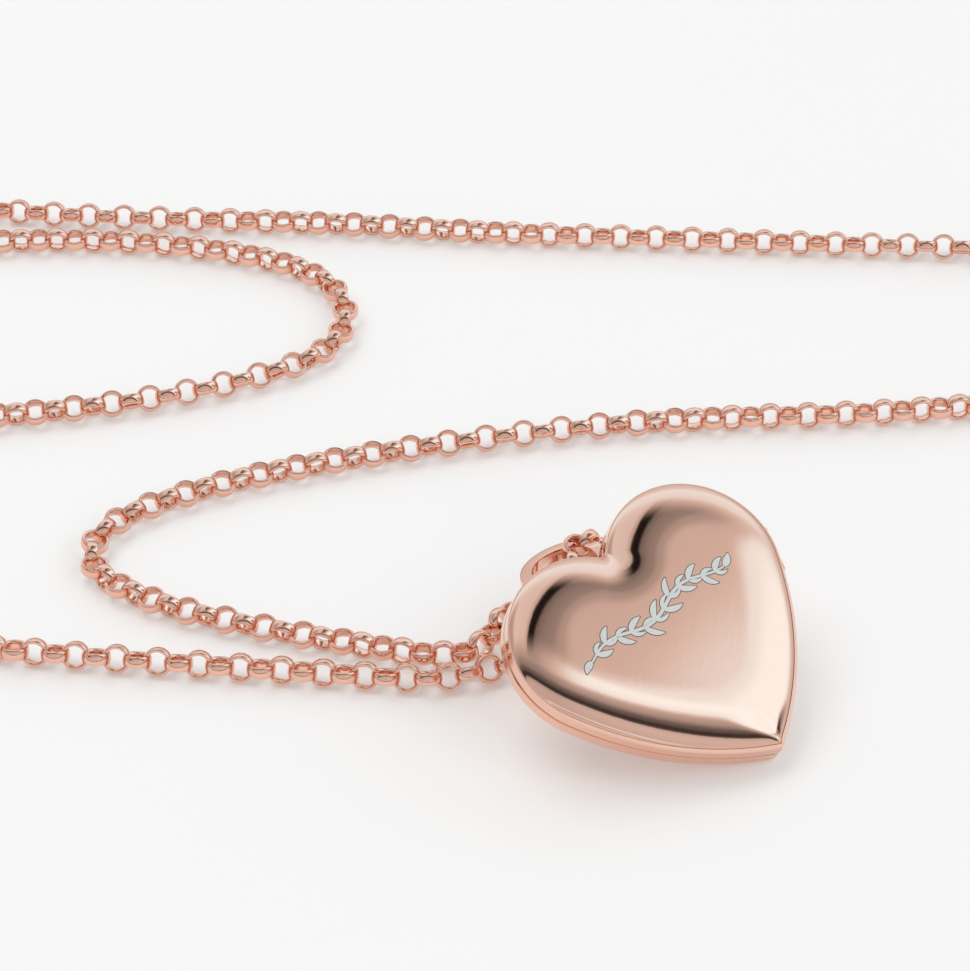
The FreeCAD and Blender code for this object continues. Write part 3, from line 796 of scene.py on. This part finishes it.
# Brightness of the studio overhead by the direction's x less SLANT of its y: a pale wall on the left, a
# black panel near the middle, then a big softbox that rises slowly and ends at a dark edge on the right.
OVERHEAD = [(-1.0, 0.34), (-0.79, 0.36), (-0.52, 0.56), (-0.13, 0.54), (-0.06, 0.42), (-0.03, 0.008),
            (0.05, 0.008), (0.10, 0.15), (0.18, 0.20), (0.27, 0.23), (0.35, 0.33), (0.43, 0.48),
            (0.53, 0.67), (0.66, 0.77), (0.82, 0.78), (0.85, 0.05), (0.90, 0.04), (0.93, 0.40), (1.0, 0.42)]
# Brightness behind the object by the direction's y, from 0 to 1.
BEHIND = [(0.0, 0.46), (0.50, 0.58), (0.66, 0.64), (0.74, 0.66), (0.82, 0.58), (0.9, 0.54), (1.0, 0.50)]
# Brightness before it, from -1 to 0: the softbox goes on, down to a sharp dark edge over a pale front.
BEFORE = [(-1.0, 0.40), (-0.90, 0.44), (-0.86, 0.70), (-0.82, 0.46), (-0.60, 0.50), (-0.53, 0.46),
          (-0.50, 0.05), (-0.46, 0.03), (-0.40, 0.10), (-0.30, 0.36), (-0.20, 0.72), (-0.1, 0.84),
          (0.0, 0.66)]
# The same on the left, where the softbox doesn't reach.
BEFORE_LEFT = [(-1.0, 0.40), (-0.90, 0.42), (-0.86, 0.60), (-0.82, 0.42), (-0.60, 0.42), (-0.53, 0.34),
               (-0.50, 0.04), (-0.46, 0.03), (-0.40, 0.10), (-0.30, 0.24), (-0.20, 0.34), (-0.1, 0.38),
               (0.0, 0.40)]
# Brightness by the direction's z: a thin dark line over the horizon.
HORIZON = [(-1.0, 0.55), (-0.02, 0.55), (0.0, 0.10), (0.05, 0.10), (0.09, 0.50), (0.4, 0.52), (1.0, 0.52)]
# The ranges of x, y or z over which one part of the studio goes over into the next.
SOFTBOX_EDGE, BEHIND_EDGE, BEFORE_EDGE, HORIZON_EDGE = (0.0, 0.5), (0.36, 0.60), (-0.24, 0.04), (0.16, 0.40)
COOL_RANGE, COOL_WHITE = (0.48, 0.72), (1.0, 1.34, 1.52, 1)     # the brightest part is a cooler white


def graded(tree, value, low, stops):
    """Grey levels along a value, smoothly blended between the stops."""
    spread = add_node(tree, "ShaderNodeMapRange")
    spread.inputs["From Min"].default_value, spread.inputs["From Max"].default_value = low, 1.0
    tree.links.new(value, spread.inputs["Value"])
    ramp = add_node(tree, "ShaderNodeValToRGB")
    ramp.color_ramp.interpolation = "EASE"
    elements = ramp.color_ramp.elements
    while len(elements) < len(stops):
        elements.new(0.5)
    for element, (place, level) in zip(elements, stops):
        element.position = (place - low) / (1.0 - low)
        element.color = (level, level, level, 1)
    tree.links.new(spread.outputs["Result"], ramp.inputs["Fac"])
    return ramp.outputs["Color"]


def share_of(tree, value, span):
    """0 below a span of the value, 1 above it, and smoothly between."""
    share = add_node(tree, "ShaderNodeMapRange", interpolation_type="SMOOTHSTEP")
    share.inputs["From Min"].default_value, share.inputs["From Max"].default_value = span
    tree.links.new(value, share.inputs["Value"])
    return share.outputs["Result"]


def faded(tree, value, span, first, second):
    """`first` below a span of the value, `second` above it."""
    blend = add_node(tree, "ShaderNodeMix", data_type="RGBA")
    tree.links.new(share_of(tree, value, span), blend.inputs[0])
    tree.links.new(first, blend.inputs[6])
    tree.links.new(second, blend.inputs[7])
    return blend.outputs[2]


def make_world():
    """A pale studio whose panels give polished metal its dark crescents and bright streaks."""
    world = bpy.data.worlds.new("studio")
    bpy.context.scene.world = world
    world.use_nodes = True
    tree = world.node_tree
    background = tree.nodes["Background"]
    place = add_node(tree, "ShaderNodeTexCoord")
    split = add_node(tree, "ShaderNodeSeparateXYZ")
    tree.links.new(place.outputs["Generated"], split.inputs["Vector"])
    x, y, z = (split.outputs[axis] for axis in "XYZ")
    slanted = add_node(tree, "ShaderNodeMath", operation="MULTIPLY_ADD")
    tree.links.new(y, slanted.inputs[0])
    slanted.inputs[1].default_value = -SLANT
    tree.links.new(x, slanted.inputs[2])
    overhead = graded(tree, slanted.outputs["Value"], -1.0, OVERHEAD)
    behind = graded(tree, y, 0.0, BEHIND)
    before_left, before_right = graded(tree, y, -1.0, BEFORE_LEFT), graded(tree, y, -1.0, BEFORE)
    before = faded(tree, x, SOFTBOX_EDGE, before_left, before_right)
    horizon = graded(tree, z, -1.0, HORIZON)
    level = faded(tree, y, BEHIND_EDGE, overhead, behind)
    level = faded(tree, y, BEFORE_EDGE, before, level)
    level = faded(tree, z, HORIZON_EDGE, horizon, level)
    tint = add_node(tree, "ShaderNodeMix", data_type="RGBA")
    tint.inputs[6].default_value, tint.inputs[7].default_value = (1, 1, 1, 1), COOL_WHITE
    tree.links.new(share_of(tree, level, COOL_RANGE), tint.inputs[0])
    lit = add_node(tree, "ShaderNodeVectorMath", operation="MULTIPLY")
    tree.links.new(level, lit.inputs[0])
    tree.links.new(tint.outputs[2], lit.inputs[1])
    tree.links.new(lit.outputs["Vector"], background.inputs["Color"])
    background.inputs["Strength"].default_value = STUDIO_STRENGTH


make_camera()
materials = make_materials()
make_chain(materials["chain"])
make_shell("cover_shell", 1, "front_shell", "front_cover", materials["cover"])
make_shell("base_shell", -1, "back_shell", "locket_back", materials["back"])
make_bail(materials["bail"])
make_loop(materials["bail"])
# A dark rim under the strokes: painted shade of the engraved cut's walls.
make_engraving("engraving_shade_rims", SHADE_RIM_GROWTH, SHADE_RIM_LIFT, materials["engraving_shade_rim"])
make_engraving("engraving", 0.0, CUT_LIFT, materials["engraving"])
make_spring(materials["spring"])
finish_cad_nodes(materials)
make_floor()
make_world()
area_light("key", (-0.25, 0.15, 0.55), (0, 0.01, 0), (0.5, 0.4), 1.35)
area_light("fill", (0.35, -0.25, 0.45), (0, 0.01, 0), (0.4, 0.4), 0.8)
bpy.context.scene.view_settings.view_transform = "Standard"
